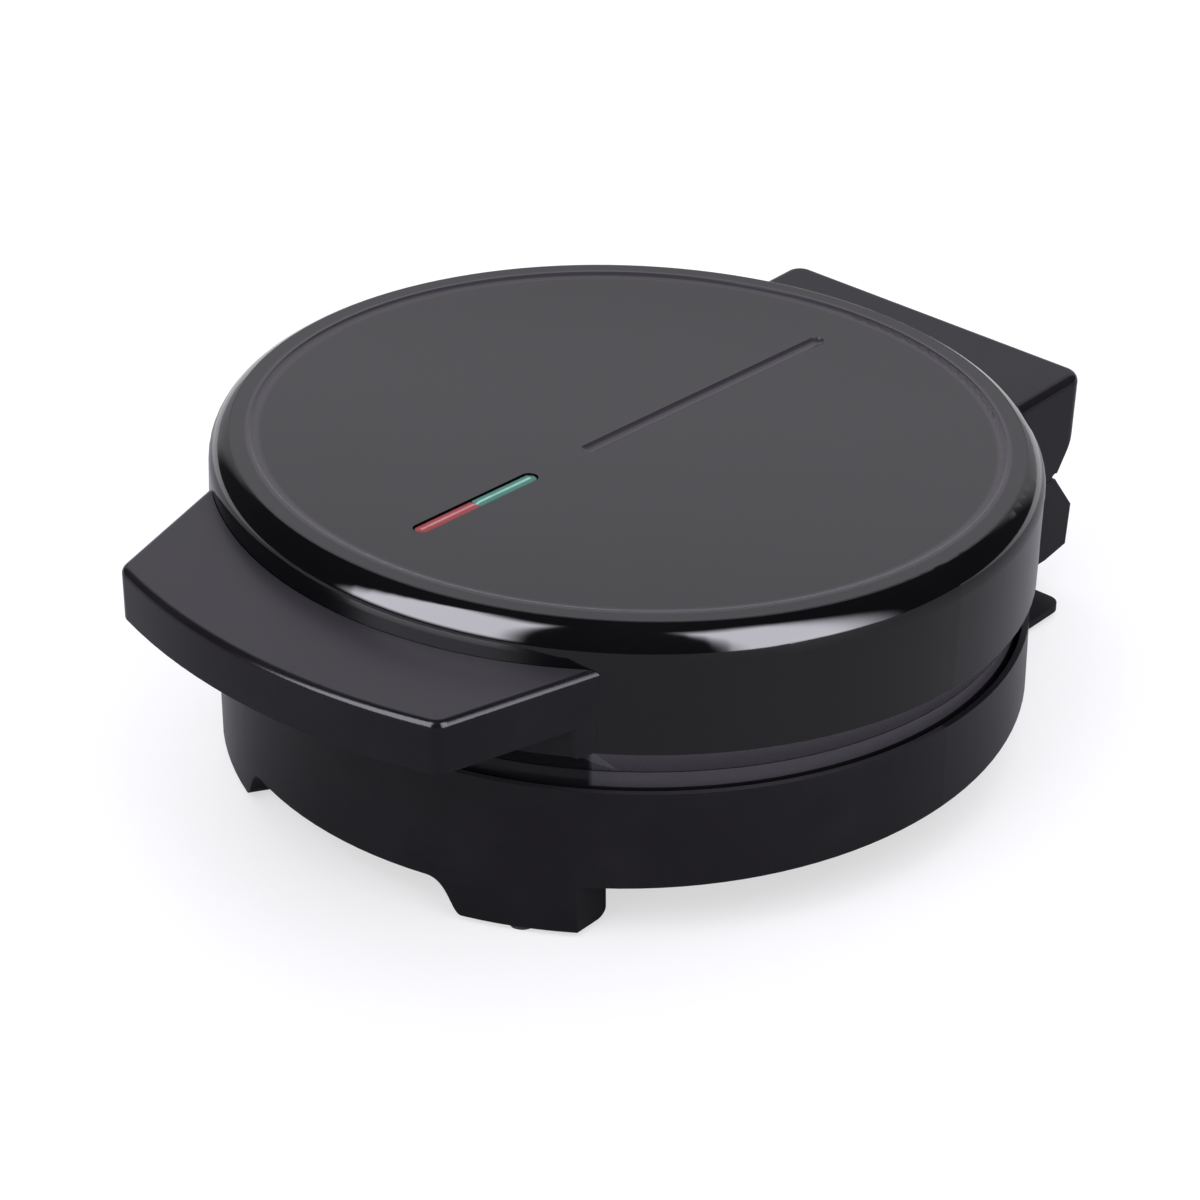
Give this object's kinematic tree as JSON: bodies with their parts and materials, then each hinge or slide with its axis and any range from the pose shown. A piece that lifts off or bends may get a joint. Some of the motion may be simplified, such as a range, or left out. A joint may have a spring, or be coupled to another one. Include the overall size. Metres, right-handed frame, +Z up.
{
  "type": "waffle maker",
  "caption": "Round countertop waffle maker with a hinged lid, a front handle, facing studded plates, lamp window, low tub on legs and a rear foot that stores the cord.",
  "frame": {"origin": "on the table, below the middle of the bounding box, which is the axis of the round body", "axes": "+Z up, -Y to the handle and the user, +Y to the hinge, +X to the user's right"},
  "size_m": [0.21, 0.2618, 0.0867],
  "materials": {
    "gloss_shell": "glossy dark grey moulding",
    "matt_shell": "fine-grained satin dark grey moulding",
    "cast_plate": "die-cast, dark non-stick coating",
    "element_sheath": "heat-tinted steel sheath",
    "sheet_steel": "bright rolled sheet",
    "screw_steel": "zinc plated",
    "pin_steel": "ground",
    "rubber_pad": "matt",
    "bush_rubber": "matt",
    "red_lens_plastic": "translucent, red",
    "green_lens_plastic": "translucent, pale green",
    "lamp_glass": "clear",
    "lamp_housing": "white heat-resistant moulding",
    "terminal_plastic": "natural nylon",
    "clamp_plastic": "nylon",
    "thermostat_body": "phenolic body",
    "fuse_body": "bare tin-plated case",
    "lead_sleeve": "silicone sleeve"
  },
  "bodies": {
    "base": {"base_ring": "matt_shell", "base_tub": "matt_shell", "hinge_block": "matt_shell", "cord_wrap_foot": "matt_shell", "lower_grid_plate": "cast_plate", "lower_heating_element": "element_sheath", "lower_reflector": "sheet_steel", "lower_plate_screws": "screw_steel", "base_screws": "screw_steel", "hinge_block_screws": "screw_steel", "cord_wrap_screws": "screw_steel", "hinge_pins": "pin_steel", "rubber_feet": "rubber_pad", "cord_bush": "bush_rubber", "terminal_block": "terminal_plastic", "cord_clamp": "clamp_plastic", "thermal_fuse": "fuse_body", "base_leads": "lead_sleeve"},
    "lid": {"lid_cover": "gloss_shell", "lid_frame": "matt_shell", "handle_underside": "matt_shell", "handle_screws": "screw_steel", "hinge_cover": "matt_shell", "hinge_cover_screws": "screw_steel", "upper_grid_plate": "cast_plate", "upper_heating_element": "element_sheath", "upper_reflector": "sheet_steel", "upper_plate_screws": "screw_steel", "thermostat": "thermostat_body", "lamp_holder": "lamp_housing", "red_lens": "red_lens_plastic", "green_lens": "green_lens_plastic", "red_lamp": "lamp_glass", "green_lamp": "lamp_glass", "lid_screws": "screw_steel", "lid_leads": "lead_sleeve"}
  },
  "joints": [
    {"name": "lid_hinge", "type": "hinge", "parent": "base", "child": "lid", "pos_m": [0, 0.1197, 0.03573], "axis": [-1, 0, 0], "range_deg": [0, 100]}
  ]
}
